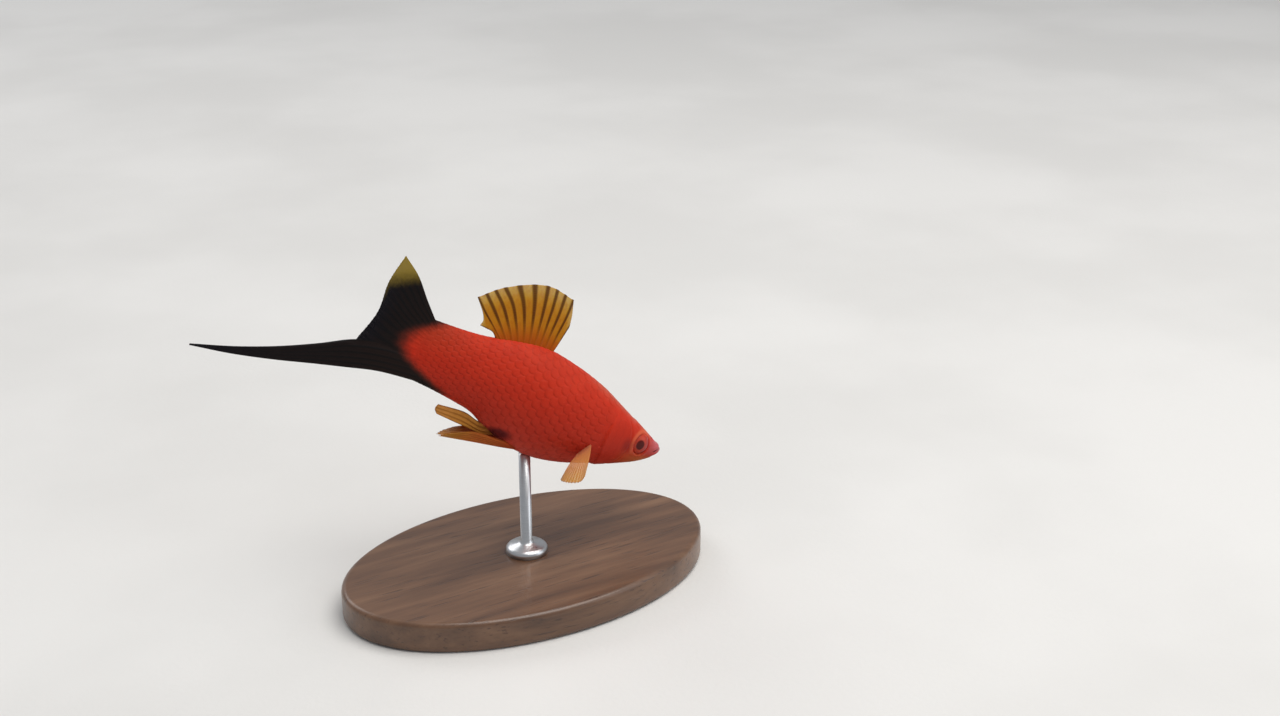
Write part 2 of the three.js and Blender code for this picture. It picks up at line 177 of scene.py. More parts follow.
# Camera and light
viewForm = {
    "lens": 50,
    "sensor": 36,
    "heading": math.radians(32),
    "above": math.radians(22),
    "fromSnout": (-171.16, -267.6, 147.22),
}
lightForm = {
    "sky": (0.86, 0.89, 0.94), "skyStrength": 0.42, "aim": (0, 0, 0.03),
    "key": {"at": (0.18, -0.2, 0.78), "size": 0.7, "power": 5.4, "colour": (1.0, 0.97, 0.93)},
    "fill": {"at": (0.6, -0.55, 0.35), "size": 0.6, "power": 1.2, "colour": (0.92, 0.96, 1.0)},
    "rim": {"at": (-0.2, 0.7, 0.55), "size": 0.5, "power": 1.5, "colour": (1.0, 1.0, 1.0)},
}


def linked(thing):
    bpy.context.scene.collection.objects.link(thing)
    return thing


def makeView():
    heading, above = viewForm["heading"], viewForm["above"]
    level = math.cos(above)
    forward = Vector((math.sin(heading) * level, math.cos(heading) * level, -math.sin(above)))
    camera = linked(bpy.data.objects.new("camera", bpy.data.cameras.new("camera")))
    camera.data.lens = viewForm["lens"]
    camera.data.sensor_width = viewForm["sensor"]
    camera.data.clip_start = 0.01
    camera.location = snout + Vector(viewForm["fromSnout"]) * mm
    camera.rotation_mode = "QUATERNION"
    camera.rotation_quaternion = (-forward).to_track_quat("Z", "Y")
    bpy.context.scene.camera = camera


def makeLight():
    world = bpy.data.worlds.new("softRoom")
    world.use_nodes = True
    sky = world.node_tree.nodes["Background"]
    sky.inputs["Color"].default_value = (*lightForm["sky"], 1)
    sky.inputs["Strength"].default_value = lightForm["skyStrength"]
    bpy.context.scene.world = world
    for name in ("key", "fill", "rim"):
        form = lightForm[name]
        lamp = bpy.data.lights.new(name, "AREA")
        lamp.shape = "DISK"
        lamp.size = form["size"]
        lamp.energy = form["power"]
        lamp.color = form["colour"]
        shone = linked(bpy.data.objects.new(name, lamp))
        shone.location = form["at"]
        shone.rotation_mode = "QUATERNION"
        shone.rotation_quaternion = (Vector(form["at"]) - Vector(lightForm["aim"])).to_track_quat("Z", "Y")


bpy.context.scene.view_settings.view_transform = "Standard"
makeView()
makeLight()
print("camera and light")


class Wire:
    # One socket in a material, so that shader maths reads as plain sums.
    def __init__(self, tree, socket):
        self.tree = tree
        self.socket = socket

    def node(self, kind, setup=None, values=None, out=0):
        made = self.tree.nodes.new("ShaderNode" + kind)
        for name, value in (setup or {}).items():
            if name == "stops":
                self.setStops(made.color_ramp, value)
            else:
                setattr(made, name, value)
        for key, value in (values or {}).items():
            if isinstance(value, Wire):
                self.tree.links.new(value.socket, made.inputs[key])
            else:
                made.inputs[key].default_value = value
        return Wire(self.tree, made.outputs[out])

    def setStops(self, ramp, stops):
        while len(ramp.elements) < len(stops):
            ramp.elements.new(0.5)
        for element, (at, colour) in zip(ramp.elements, stops):
            element.position = at
            element.color = (*colour, 1)

    def maths(self, operation, a, b=0.0):
        return self.node("Math", {"operation": operation}, {0: a, 1: b})

    def __add__(self, other):
        return self.maths("ADD", self, other)

    __radd__ = __add__

    def __sub__(self, other):
        return self.maths("SUBTRACT", self, other)

    def __rsub__(self, other):
        return self.maths("SUBTRACT", other, self)

    def __mul__(self, other):
        return self.maths("MULTIPLY", self, other)

    __rmul__ = __mul__

    def __truediv__(self, other):
        return self.maths("DIVIDE", self, other)

    def __pow__(self, other):
        return self.maths("POWER", self, other)

    def __abs__(self):
        return self.maths("ABSOLUTE", self)

    def most(self, other):
        return self.maths("MAXIMUM", self, other)

    def least(self, other):
        return self.maths("MINIMUM", self, other)

    def fraction(self):
        return self.maths("FRACT", self)

    def rise(self, low, high):  # 0 below low, 1 above high, smooth between
        limits = {0: self, 1: low, 2: high, 3: 0.0, 4: 1.0}
        return self.node("MapRange", {"interpolation_type": "SMOOTHSTEP"}, limits)

    def mix(self, under, over):  # colours, by this mask
        under, over = (value if isinstance(value, Wire) else (*value, 1) for value in (under, over))
        return self.node("Mix", {"data_type": "RGBA"}, {0: self, 6: under, 7: over}, out=2)

    def parts(self):
        split = self.node("SeparateXYZ", None, {0: self})
        return [Wire(self.tree, split.socket.node.outputs[k]) for k in range(3)]

    def noise(self, scale, detail=2.0, roughness=0.5):
        pattern = {"Vector": self, "Scale": scale, "Detail": detail, "Roughness": roughness}
        return self.node("TexNoise", None, pattern)

    def attribute(self, name):
        return self.node("Attribute", {"attribute_name": name}, out=2)


def newMaterial(name, **fixed):
    material = bpy.data.materials.new(name)
    material.use_nodes = True
    surface = material.node_tree.nodes["Principled BSDF"]
    for key, value in fixed.items():
        surface.inputs[key.replace("_", " ")].default_value = value
    place = Wire(material.node_tree, material.node_tree.nodes.new("ShaderNodeTexCoord").outputs["Object"])
    return material, surface, place


def feed(surface, **wires):
    for key, wire in wires.items():
        wire.tree.links.new(wire.socket, surface.inputs[key.replace("_", " ")])


def bumped(wire, height, strength, distance):
    return wire.node("Bump", None, {"Strength": strength, "Distance": distance, "Height": height})


def levelled(place):  # the level fish's own millimetres, wherever the piece stands
    turned = {"Location": snout, "Rotation": (0, bodyForm["headDown"], 0), "Scale": (mm, mm, mm)}
    level = place.node("Mapping", {"vector_type": "TEXTURE"}, {"Vector": place} | turned)
    x, y, z = level.parts()
    return level, 0 - x, y, z


def finishPiece(name, bm, material, replaced=(), smoothed=True):
    bmesh.ops.recalc_face_normals(bm, faces=bm.faces[:])
    mesh = bpy.data.meshes.new(name)
    bm.to_mesh(mesh)
    bm.free()
    mesh.polygons.foreach_set("use_smooth", [smoothed] * len(mesh.polygons))
    mesh.materials.append(material)
    piece = linked(bpy.data.objects.new(name, mesh))
    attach(piece, "root")
    if replaced:
        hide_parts(*replaced)
    print(name, len(mesh.polygons), "faces")
    return piece


floorForm = {
    "size": 1.6,
    "pale": (0.74, 0.73, 0.71),
    "shade": (0.68, 0.67, 0.65),
    "cloud": (9, 4),
    "grain": (900, 3),
}


def makeFloor():
    bm = bmesh.new()
    bmesh.ops.create_grid(bm, x_segments=2, y_segments=2, size=floorForm["size"])
    mesh = bpy.data.meshes.new("floor")
    bm.to_mesh(mesh)
    bm.free()
    material, surface, place = newMaterial("paleFloor", Roughness=0.75)
    cloud = place.noise(*floorForm["cloud"]).rise(0.35, 0.65)
    feed(surface, Base_Color=cloud.mix(floorForm["shade"], floorForm["pale"]))
    feed(surface, Normal=bumped(place, place.noise(*floorForm["grain"]), 0.15, 0.0004))
    mesh.materials.append(material)
    floor = linked(bpy.data.objects.new("floor", mesh))


makeFloor()
print("floor")


# The head in the level side view. A place is [distance behind the snout, height], a line or a mound is
# [height of its relief, distance, width], and a pair is where something starts and is in full.
headForm = {
    "reliefEnd": 20,
    "eye": (6.85, -0.25),
    "eyeRadius": 2.15,
    "eyeBulge": 1.25,
    "eyeSunk": 0.85,
    "eyeForward": math.radians(7),
    "eyeDown": math.radians(3),
    "mound": (0.28, 0, 2.6),
    "moundSide": 1.5,
    "rim": (0.06, 2.45, 0.35),
    "socket": -1.3,
    "socketEdge": (1.72, 2.14),
    "socketSide": 0.4,
    "slitFrom": (-1.0, 1.75),
    "slitTo": (2.3, -0.75),
    "slit": (-0.42, 0, 0.13),
    "slitEnd": (2.0, 2.7),
    "lip": (0.24, 0.5, 0.34),
    "lipEnd": (1.2, 3.2),
    "furrow": (-0.09, 1.15, 0.2),
    "furrowEnd": (1.5, 3.4),
    "nostril": (3.7, 1.45),
    "nostrilAcross": 0.74,
    "nostrilPit": (-0.45, 0, 0.3),
    "nostrilRim": (0.09, 0.52, 0.16),
    "gillArc": (7.2, -1.1),
    "gillRadius": 9.23,
    "gillTurns": ((-84, -60), (0, 34)),  # degrees up from straight behind
    "gillRaise": 0.11,
    "gillCover": ((-5.5, -0.5), (-0.12, 0.2)),
    "gillGroove": (-0.13, 0.2, 0.24),
    "gillEdge": (0.03, -0.35, 0.3),
    "cheekArc": (18.7, -1.55),
    "cheekRadius": 8.8,
    "cheekLine": (-0.1, 0, 0.22),
    "cheekHeights": ((-8, -6), (2.5, 4)),
    "cheekFrom": (8.5, 9.5),
    "throatLine": (-0.16, 1.3, 0.22),
    "throatTop": (-3.5, -2),
    "throatRun": ((6, 9), (14, 15.5)),
}
coatForm = {  # the skin lies this deep under the coat of scales, and less where it is bare
    "depth": 0.15,
    "bareDepth": 0.02,
    "bareEdge": (-0.9, 0.2),
    "behindGill": 0.3,
    "napeFrom": 9.4,
    "napeLine": (8.5, 2.9, 0.2),  # a place on the lower edge of the scales, and its slope
    "grown": (0.0, 3.5),
    "tailwards": (55.0, 60.0),
    "columns": (9.9, 59.2),
    "around": 24,
    "turnMarks": 240,
    "pitch": (1.7, 1.32),
    "pitchRun": (20, 58),
    "least": 0.25,
    "overlap": 1.0,
    "widen": 0.56,  # half of a scale, in steps round the body
    "steps": 6,
    "roundness": (0.42, 0.5),  # of the hind edge and of the sides
    "clear": 0.012,
    "raise": 0.06,
    "smallRaise": 0.45,
    "smallSunk": 0.03,
    "rimSunk": -0.03,
    "rimFrom": 0.99,
    "backing": -0.1,
    "rimShade": ((0.6, 0.98), (-0.1, 0.5)),
    "patch": {"top": 0.007, "wall": 0.0076, "backing": 0.0012, "aside": 0.0095},
    "drawnArc": 0.4,  # from here, the scales that are drawn in the skin
    "drawnRim": (0.8, 1.0),
    "drawnBehindEye": (3.0, 4.8),
    "drawnFrom": (6.5, 9.5),
    "drawnOffRidge": (0.001, 0.05),
}


def bareness(s, h):  # above 0 where scales grow, in millimetres from their edge
    s0, h0 = headForm["gillArc"]
    behindGill = math.hypot(s - s0, h - h0) - headForm["gillRadius"] - coatForm["behindGill"]
    s0, h0, slope = coatForm["napeLine"]
    nape = min(h - h0 - slope * (s - s0), s - coatForm["napeFrom"])
    return max(behindGill, nape)


def coatInset(s, h):
    return lerp(coatForm["bareDepth"], coatForm["depth"], smooth(*coatForm["bareEdge"], bareness(s, h)))


def slitDistance(s, h):  # from the line of the closed mouth
    (s0, h0), (s1, h1) = headForm["slitFrom"], headForm["slitTo"]
    slope = (h1 - h0) / (s1 - s0)
    return (h - h0 - slope * (s - s0)) / math.hypot(1, slope)


def eyeDistance(s, h):
    s0, h0 = headForm["eye"]
    return ((s - s0) ** 2 + (h - h0) ** 2) ** 0.5


def raisedLine(name, distance):
    raised, at, wide = headForm[name]
    return raised * bump(distance - at, wide)


def fadeOut(name, value):  # 1 up to the pair, then fading to 0
    return 1 - smooth(*headForm[name], value)


def within(name, value):  # 1 between two pairs
    start, end = headForm[name]
    return smooth(*start, value) * (1 - smooth(*end, value))


def headRelief(point, out):  # how far the skin stands out of its plain form
    s, y, h = -point.x, point.y, point.z
    if s > headForm["reliefEnd"]:
        return 0.0
    fromEye = eyeDistance(s, h)
    orbit = raisedLine("mound", fromEye) + raisedLine("rim", fromEye)
    orbit *= min(abs(out) * headForm["moundSide"], 1)
    if abs(out) > headForm["socketSide"]:
        orbit += headForm["socket"] * fadeOut("socketEdge", fromEye)

    off = slitDistance(s, h)
    mouth = raisedLine("slit", off) * fadeOut("slitEnd", s)
    mouth += raisedLine("lip", abs(off)) * fadeOut("lipEnd", s)
    mouth += raisedLine("furrow", abs(off)) * fadeOut("furrowEnd", s)

    s0, h0 = headForm["nostril"]
    flank = section(s0)[2] * headForm["nostrilAcross"]
    toNostril = math.sqrt((s - s0) ** 2 + (h - h0) ** 2 + (abs(y) - flank) ** 2)
    nostril = raisedLine("nostrilPit", toNostril) + raisedLine("nostrilRim", toNostril)

    ds, dh = s - headForm["gillArc"][0], h - headForm["gillArc"][1]
    fromArc = math.hypot(ds, dh) - headForm["gillRadius"]
    gill = headForm["gillRaise"] * within("gillCover", fromArc)
    gill += raisedLine("gillGroove", fromArc) + raisedLine("gillEdge", fromArc)
    gill *= within("gillTurns", math.degrees(math.atan2(dh, ds)))

    s0, h0 = headForm["cheekArc"]
    cheek = raisedLine("cheekLine", math.hypot(s - s0, h - h0) - headForm["cheekRadius"])
    cheek *= within("cheekHeights", h) * smooth(*headForm["cheekFrom"], s)
    throat = raisedLine("throatLine", abs(y)) * fadeOut("throatTop", h) * within("throatRun", s)
    return orbit + mouth + nostril + gill + cheek + throat


skinForm = {
    "around": 248,
    "marks": 60,
    "stretches": [(2.2, 30), (9.6, 80), (18.4, 68), (45.0, 64), (58.2, 24), (62.2, 16)],
}


def skinStations():
    stations = [0.0]
    last = len(skinForm["stretches"]) - 1
    for k, (to, rings) in enumerate(skinForm["stretches"]):
        start = stations[-1]
        for i in range(1, rings + 1):
            quarter = i / rings * math.pi / 2
            eased = {0: 1 - math.cos(quarter), last: math.sin(quarter)}.get(k, i / rings)
            stations.append(start + (to - start) * eased)
    return stations


def unwrapRound(face, bake):  # the sphere's own turn and ring, with the seam under the belly
    turns = [math.atan2(loop.vert.co.y, loop.vert.co.x) / (2 * math.pi) + 0.5 for loop in face.loops]
    poles = [abs(loop.vert.co.z) > 0.99999 for loop in face.loops]
    known = [t for t, pole in zip(turns, poles) if not pole]
    if max(known) - min(known) > 0.5:
        turns = [t + 1 if t < 0.5 else t for t in turns]
        known = [t + 1 if t < 0.5 else t for t in known]
    for loop, turn, pole in zip(face.loops, turns, poles):
        ring = math.acos(max(-1, min(1, loop.vert.co.z))) / math.pi
        loop[bake].uv = (sum(known) / len(known) if pole else turn, ring)


redForm = {
    "heights": (-10, 10),
    # colour by height: pale on the belly, darkest low on the flank, lighter up to the back; partly the
    # fish's own tone, partly painted light from above
    "stops": [
        (0.03, (0.52, 0.062, 0.040)),
        (0.25, (0.41, 0.025, 0.011)),
        (0.50, (0.46, 0.022, 0.007)),
        (0.75, (0.54, 0.030, 0.010)),
        (0.95, (0.56, 0.042, 0.018)),
    ],
    "clouds": ((0.40, 0.016, 0.005), 0.35),
    "upperStalk": ((0.30, 0.036, 0.012), 0.6),
    "flecks": ((0.62, 0.060, 0.025), 0.22),
    # painted highlight: a paler strip along the ridge of the nape and forehead, where the light grazes it
    "nape": ((0.50, 0.130, 0.078), 0.75),
    "snout": ((0.47, 0.115, 0.130), 0.85),
    "lips": ((0.40, 0.21, 0.21), 0.5),
    "chin": ((0.50, 0.145, 0.038), 0.8),
    "eyeRing": ((0.62, 0.125, 0.052), 0.7),
    # painted shade: a dark spot on the cheek, behind and a little below the eye
    "cheek": ((0.17, 0.012, 0.010), 0.55),
    # a dark patch on the belly over the root of the gonopodium
    "darkBellyPatch": ((0.055, 0.005, 0.008), 0.85),
    "brown": (0.085, 0.013, 0.007),
    "black": (0.010, 0.005, 0.004),
    "shadow": (0, 0, 0),
    "rimShade": 0.11,
    # painted shade: a dark line in the slit of the closed mouth
    "mouthSlitShade": ((0.12, 0.014, 0.012), 0.8),
    "tailEdge": {"behind": 63.4, "height": 1.7, "above": 4.6, "below": 3.4, "lowest": 6.2, "waver": 1.6},
}


def spotDistance(s, h, s0, h0, long, high):  # 1 at the edge of an oval spot in the side view
    return (((s - s0) / long) ** 2 + ((h - h0) / high) ** 2) ** 0.5


def redMarkings(level, s, y, h):  # colours of the skin and of the scales alike
    masks = {
        "clouds": level.noise(0.35, 3).rise(0.3, 0.7),
        "upperStalk": s.rise(46, 60) * h.rise(0.5, 6.0),
        "flecks": level.noise(1.9, 3, 0.6).rise(0.52, 0.75),
        # painted highlight along the ridge of the nape and forehead
        "nape": (1 - abs(y).rise(0.4, 3.6)) * h.rise(0.5, 2.5) * (1 - s.rise(17, 25)),
        "snout": (1 - s.rise(1.6, 6.2)) * h.rise(-2.6, 0.4),
        "lips": (1 - s.rise(0.5, 2.3)) * h.rise(-1.4, 0.2),
        "chin": (1 - s.rise(3.0, 13.0)) * (1 - h.rise(-3.4, -1.3)),
        "eyeRing": (1 - abs(eyeDistance(s, h) - 2.6).rise(0.05, 0.65)) * (s + h * 0.8).rise(5.2, 8.2),
        # painted shade on the cheek behind the eye
        "cheek": 1 - spotDistance(s, h, 10.4, -1.2, 1, 1).rise(0.3, 2.2),
        # a dark patch on the belly over the root of the gonopodium
        "darkBellyPatch": 1 - spotDistance(s, h, 36.8, -7.9, 2.9, 1.35).rise(0.35, 1.15),
    }
    # colour by height, partly painted light from above on the back
    low, high = redForm["heights"]
    share = (h - low) / (high - low)
    red = share.node("ValToRGB", {"stops": redForm["stops"]}, {0: share})
    for name, mask in masks.items():
        colour, strength = redForm[name]
        red = (mask * strength).mix(red, colour)
    return darkTail(red, level, s, h)


def tailEdge(level, h):  # how far back the red reaches at each height
    edge = redForm["tailEdge"]
    above = (h - edge["height"]).most(0)
    below = (edge["height"] - h).most(0).least(edge["lowest"])
    bowed = edge["behind"] - above * above / edge["above"] - below * below / edge["below"]
    return bowed + (level.noise(0.9, 3) - 0.5) * edge["waver"]


def darkTail(red, level, s, h):  # red runs into brown and black at the root of the tail
    past = s - tailEdge(level, h)
    brown = past.rise(-3.4, 0.2).mix(red, redForm["brown"])
    return past.rise(-1.3, 1.7).mix(brown, redForm["black"])


def napeScales(place, s, h):  # low scales drawn in the skin of the nape and the gill cover
    steps = place.attribute("steps")
    aside = abs((steps + 0.5).fraction() - 0.5)
    column, arc = s / coatForm["pitch"][0], coatForm["drawnArc"]

    def row(k, off):  # every second column, up to 2 at the round hind edges of its scales
        return ((column - k - (arc - off * off) ** 0.5) * 0.5).fraction() * 2

    high = row(0, aside).most(row(1, 0.5 - aside)) - 1
    shown = eyeDistance(s, h).rise(*coatForm["drawnBehindEye"]) * s.rise(*coatForm["drawnFrom"])
    shown = shown * steps.rise(*coatForm["drawnOffRidge"])
    return high * shown, high.rise(*coatForm["drawnRim"]) * shown


def makeRedSkin():
    material, surface, place = newMaterial(
        "redSkin", Coat_Roughness=0.3, Specular_IOR_Level=0.09,
        Subsurface_Weight=0.08, Subsurface_Radius=(1.0, 0.25, 0.12), Subsurface_Scale=0.0009,
    )
    level, s, y, h = levelled(place)
    high, edge = napeScales(place, s, h)
    red = redMarkings(level, s, y, h)
    for rim in (place.attribute("plate"), edge):
        red = (rim * redForm["rimShade"]).mix(red, redForm["shadow"])
    # painted shade in the slit of the closed mouth; the lip mask below marks that slit
    colour, strength = redForm["mouthSlitShade"]
    lip = (1 - abs(slitDistance(s, h)).rise(0.05, 0.16)) * (1 - s.rise(*headForm["slitEnd"]))
    red = (lip * strength).mix(red, colour)
    grain = level.noise(5.5, 4, 0.6)
    feed(surface, Base_Color=red, Roughness=0.40 + grain * 0.16, Coat_Weight=level.noise(0.6, 2) * 0.07)
    feed(surface, Normal=bumped(place, grain + high * 0.9, 0.3, 0.00006))
    return material


redSkin = makeRedSkin()


def lengthsAlong(marks):  # the length up to each mark
    lengths = [0.0]
    for a, b in zip(marks, marks[1:]):
        lengths.append(lengths[-1] + (b - a).length)
    return lengths


def makeSkin():
    stations, last = skinStations(), skinForm["marks"]

    @lru_cache(maxsize=None)
    def lengthsRound(ring):
        return lengthsAlong([bodyPoint(stations[ring], k / last * math.pi, 0) for k in range(last + 1)])

    def stepsRound(ring, turn):
        lengths, k = lengthsRound(ring), turn / math.pi * last
        here = lerp(lengths[int(k)], lengths[min(int(k) + 1, last)], k - int(k))
        return here / max(lengths[-1], 1e-6) * coatForm["around"] / 2

    bm = bmesh.new()
    bmesh.ops.create_uvsphere(bm, u_segments=skinForm["around"], v_segments=len(stations) - 1, radius=1)
    bake = bm.loops.layers.uv.new("OFBake")
    for face in bm.faces:
        unwrapRound(face, bake)
    steps = bm.verts.layers.float.new("steps")  # scales from the back, by the length round the body
    outs = []
    for vert in bm.verts:
        ring = round(math.acos(max(-1, min(1, vert.co.z))) / math.pi * (len(stations) - 1))
        turn = math.atan2(vert.co.y, vert.co.x)
        s = stations[ring]
        bare = bodyPoint(s, turn, 0)
        vert.co = bodyPoint(s, turn, -coatInset(s, bare.z))
        vert[steps] = stepsRound(ring, abs(turn))
        outs.append(math.sin(turn))
    bm.normal_update()
    outwards = math.copysign(1, sum(vert.normal.y * vert.co.y for vert in bm.verts))
    for vert, out in zip(bm.verts, outs):
        vert.co += vert.normal * headRelief(vert.co, out) * outwards
    bmesh.ops.transform(bm, matrix=toRow, verts=bm.verts)
    flesh = ["head", "lower_jaw", "trunk", "tail_stalk", "gill_cover_left", "gill_cover_right"]
    finishPiece("skin", bm, redSkin, flesh)


makeSkin()


def evenTurns(s):  # turns at even steps of length round the body, from the back
    last = coatForm["turnMarks"]
    lengths = lengthsAlong([bodyPoint(s, k / last * 2 * math.pi, 0) for k in range(last + 1)])

    def turnAt(share):
        want = (share % 1) * lengths[-1]
        k = max(next(i for i, reach in enumerate(lengths) if reach >= want), 1)
        return (k - 1 + (want - lengths[k - 1]) / (lengths[k] - lengths[k - 1])) / last * 2 * math.pi
    return turnAt


def ofKind(items, kind):
    return [item for item in items if isinstance(item, kind)]


def flatPlate(bm):  # a closed square plate, 2 across, with few faces
    steps = coatForm["steps"]
    upper = bmesh.ops.create_grid(bm, x_segments=steps, y_segments=steps, size=1)["verts"]
    edges = dict.fromkeys(edge for vert in upper for edge in vert.link_edges if edge.is_boundary)
    skirt = bmesh.ops.extrude_edge_only(bm, edges=list(edges))["geom"]
    lower = ofKind(skirt, bmesh.types.BMVert)
    rim = [edge for edge in ofKind(skirt, bmesh.types.BMEdge) if edge.is_boundary]
    bmesh.ops.edgeloop_fill(bm, edges=rim)
    for vert in lower:
        vert.co.z = -1
    for vert in upper:
        vert.co.z = 1
    return upper + lower


def addScale(bm, bake, plate, s0, share0, pitch, turnAt):
    verts = flatPlate(bm)
    patch = coatForm["patch"]
    rootU, rootV = (turnAt(share0) / (2 * math.pi) + 0.5) % 1, s0 / bodyForm["stalkEnd"]
    for face in dict.fromkeys(face for vert in verts for face in vert.link_faces):
        under = sum(loop.vert.co.z for loop in face.loops) < 0
        for loop in face.loops:
            x, y, z = loop.vert.co
            size = patch["backing"] if under else patch["top"] if z > 0 else patch["wall"]
            loop[bake].uv = (rootU + y * size, rootV + x * size + (patch["aside"] if under else 0))
    half, across = pitch * coatForm["overlap"], coatForm["widen"] / coatForm["around"]
    hind, beside = coatForm["roundness"]
    shadedRim, shadedFrom = coatForm["rimShade"]
    for vert in verts:
        p, q = math.sin(vert.co.x * math.pi / 2), math.sin(vert.co.y * math.pi / 2)
        x, y = p * math.sqrt(1 - hind * q * q), q * math.sqrt(1 - beside * p * p)
        rim = max(abs(p), abs(q))
        s = min(s0 + x * half, bodyForm["stalkEnd"] - 0.05)
        turn = turnAt(share0 + y * across)
        h = bodyPoint(s, turn, 0).z
        grown = smooth(*coatForm["grown"], bareness(s, h)) * (1 - smooth(*coatForm["tailwards"], s))
        lift, shade = coatForm["backing"], 0
        if vert.co.z > 0:
            raised = coatForm["raise"] * (x + 1) / 2 * lerp(coatForm["smallRaise"], 1, grown)
            lift = coatForm["rimSunk"] if rim > coatForm["rimFrom"] else coatForm["clear"] + raised
            lift -= coatForm["smallSunk"] * (1 - grown)
            shade = smooth(*shadedRim, rim) * smooth(*shadedFrom, x) * grown
        vert.co = bodyPoint(s, turn, lift - coatInset(s, h))
        vert[plate] = shade


def makeScales():
    sides = {}
    for name in ("scalesLeft", "scalesRight"):
        bm = bmesh.new()
        sides[name] = (bm, bm.loops.layers.uv.new("OFBake"), bm.verts.layers.float.new("plate"))
    s0, last = coatForm["columns"]
    column = 0
    while s0 < last:
        pitch = lerp(*coatForm["pitch"], smooth(*coatForm["pitchRun"], s0))
        turnAt = evenTurns(s0)
        for i in range(coatForm["around"]):
            share = ((i + 0.5 * (column % 2)) / coatForm["around"]) % 1
            if bareness(s0, bodyPoint(s0, turnAt(share), 0).z) > coatForm["least"]:
                addScale(*sides["scalesLeft" if share < 0.5 else "scalesRight"], s0, share, pitch, turnAt)
        s0 += pitch
        column += 1
    for name, (bm, *_) in sides.items():
        bmesh.ops.transform(bm, matrix=toRow, verts=bm.verts)
        finishPiece(name, bm, redSkin)


makeScales()


eyeForm = {
    "rings": 48,
    "around": 72,
    "cornea": (0.06, 0, 0.55),
    "edgeGroove": (-0.05, 0.9, 0.05),
    "pupil": 0.5,
    "narrow": 0.88,
    "shift": (-0.27, 0.03),
    "iris": 0.88,
    "streaks": (7, 2),
}
eyeLook = {
    "iris": ((0.44, 0.044, 0.026), (0.54, 0.072, 0.040)),
    "outer": (0.46, 0.046, 0.024),
    "front": (0.33, 0.026, 0.028),
    "edge": (0.50, 0.060, 0.028),
    "pupil": (0.085, 0.008, 0.007),
}


def makeEyeMaterial():
    finish = {"Coat_Weight": 0.18, "Coat_Roughness": 0.06, "Specular_IOR_Level": 0.06}
    material, surface, place = newMaterial("eye", **finish)
    u, v, _ = place.node("UVMap", {"uv_map": "eyeMap"}).parts()
    x, y = u * 2 - 1, v * 2 - 1
    whole = (x * x + y * y) ** 0.5
    x, y = (x - eyeForm["shift"][0]) / eyeForm["narrow"], y - eyeForm["shift"][1]
    radius = (x * x + y * y) ** 0.5
    turning, along = eyeForm["streaks"]
    heading = {0: x / radius.most(0.05) * turning, 1: y / radius.most(0.05) * turning, 2: radius * along}
    iris = place.node("CombineXYZ", None, heading).noise(1.6, 3).rise(0.25, 0.75).mix(*eyeLook["iris"])
    iris = whole.rise(0.6, 0.9).mix(iris, eyeLook["outer"])
    iris = (x.rise(0.0, 0.9) * 0.7).mix(iris, eyeLook["front"])
    iris = whole.rise(eyeForm["iris"], 0.98).mix(iris, eyeLook["edge"])
    pupil = 1 - radius.rise(eyeForm["pupil"] - 0.12, eyeForm["pupil"] + 0.05)
    feed(surface, Base_Color=pupil.mix(iris, eyeLook["pupil"]), Roughness=0.4 - pupil * 0.15)
    return material


eyeMaterial = makeEyeMaterial()


def corneaRelief(reach):
    rings = (eyeForm["cornea"], eyeForm["edgeGroove"])
    return sum(raised * bump(reach - at, wide) for raised, at, wide in rings)


def makeEye(name, side, node):
    bm = bmesh.new()
    bmesh.ops.create_uvsphere(bm, u_segments=eyeForm["around"], v_segments=eyeForm["rings"], radius=1)
    eyeMap = bm.loops.layers.uv.new("eyeMap")
    for face in bm.faces:
        for loop in face.loops:
            loop[eyeMap].uv = (0.5 - side * loop.vert.co.x / 2, loop.vert.co.y / 2 + 0.5)  # u grows forwards
    for vert in bm.verts:
        relief = corneaRelief(math.hypot(vert.co.x, vert.co.y)) if vert.co.z > 0 else 0
        vert.co.z = vert.co.z * headForm["eyeBulge"] + relief
        vert.co.x *= headForm["eyeRadius"]
        vert.co.y *= headForm["eyeRadius"]
    forward, down = headForm["eyeForward"], headForm["eyeDown"]
    look = Vector((math.sin(forward), side * math.cos(forward) * math.cos(down), -math.sin(down)))
    s, h = headForm["eye"]
    seat = Vector((-s, side * (section(s)[2] - headForm["eyeSunk"]), h))
    turned = Matrix.Translation(seat) @ look.to_track_quat("Z", "Y").to_matrix().to_4x4()
    bmesh.ops.transform(bm, matrix=toRow @ turned, verts=bm.verts)
    finishPiece(name, bm, eyeMaterial, [node])


makeEye("eyeLeft", 1, "eye_left")
makeEye("eyeRight", -1, "eye_right")


# Fins. Each has lines across its rays, from the root to the edge: (distance behind the snout, height, side).
# "thick" is at the root, the middle and the edge, and "fleshy" the share of the length that the root takes.
# "band" is a ray's half width at the root and the edge. "fork" says where rays fork and how wide.
# "free" holds the share of the length from which each side edge is free, and 2 is never.
# "melt" holds the columns over which each side edge thins, and the share of the length up to which it does.
def fromBack(stations, sunk):
    return [(s, section(s)[0] - sunk, 0) for s in stations]


def fromBelly(spots, sunk):
    return [(s, section(s)[1] + sunk, y) for s, y in spots]


def fromFlank(spots):
    return [(s, h, section(s)[2] - sunk) for s, h, sunk in spots]


def fromStalk(offsets):
    return [(bodyForm["length"] + s, h, 0) for s, h in offsets]


